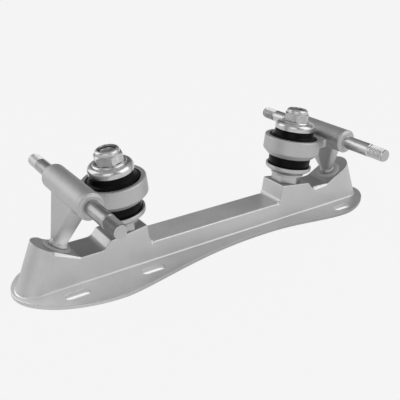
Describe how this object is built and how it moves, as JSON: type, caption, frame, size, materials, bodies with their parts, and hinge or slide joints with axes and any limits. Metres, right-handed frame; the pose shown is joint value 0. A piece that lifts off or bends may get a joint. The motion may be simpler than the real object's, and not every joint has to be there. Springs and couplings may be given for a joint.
{
  "type": "roller skate plate",
  "caption": "Cast roller skate plate carrying two rubber sprung trucks that lean to steer, with threaded wheel axles and slots for bolting it under a boot.",
  "frame": {"origin": "on the sole face, halfway along and across the plate", "axes": "+X from toe to heel, +Y to the left when looking from the toe to the heel with the axles up, +Z from the sole towards the axles"},
  "size_m": [0.2536, 0.1104, 0.0718],
  "materials": {
    "cast_aluminium": "matte blasted",
    "seat_aluminium": "matte",
    "axle_steel": "zinc plated",
    "plated_steel": "bright plated",
    "cushion_rubber": "satin",
    "cup_plastic": "satin",
    "nut_nylon": "satin"
  },
  "bodies": {
    "plate": {"base_plate": "cast_aluminium", "front_pivot_cup": "cup_plastic", "front_kingpin": "plated_steel", "front_kingpin_seat": "seat_aluminium", "front_lower_cushion": "cushion_rubber", "front_upper_cushion": "cushion_rubber", "front_upper_retainer": "plated_steel", "front_lock_nut": "plated_steel", "front_lock_nut_insert": "nut_nylon", "rear_pivot_cup": "cup_plastic", "rear_kingpin": "plated_steel", "rear_kingpin_seat": "seat_aluminium", "rear_lower_cushion": "cushion_rubber", "rear_upper_cushion": "cushion_rubber", "rear_upper_retainer": "plated_steel", "rear_lock_nut": "plated_steel", "rear_lock_nut_insert": "nut_nylon"},
    "front_truck": {"front_hanger": "cast_aluminium", "front_axle": "axle_steel"},
    "rear_truck": {"rear_hanger": "cast_aluminium", "rear_axle": "axle_steel"}
  },
  "joints": [
    {"name": "front_truck_steer", "type": "hinge", "parent": "plate", "child": "front_truck", "pos_m": [-0.10243, 0, 0.01831], "axis": [0.7887, 0, 0.6148], "range_deg": [-8, 8], "stiffness_Nm_per_rad": 8, "deforming": ["front_lower_cushion", "front_upper_cushion"]},
    {"name": "rear_truck_steer", "type": "hinge", "parent": "plate", "child": "rear_truck", "pos_m": [0.09893, 0, 0.01831], "axis": [-0.7887, 0, 0.6148], "range_deg": [-8, 8], "stiffness_Nm_per_rad": 8, "deforming": ["rear_lower_cushion", "rear_upper_cushion"]}
  ]
}
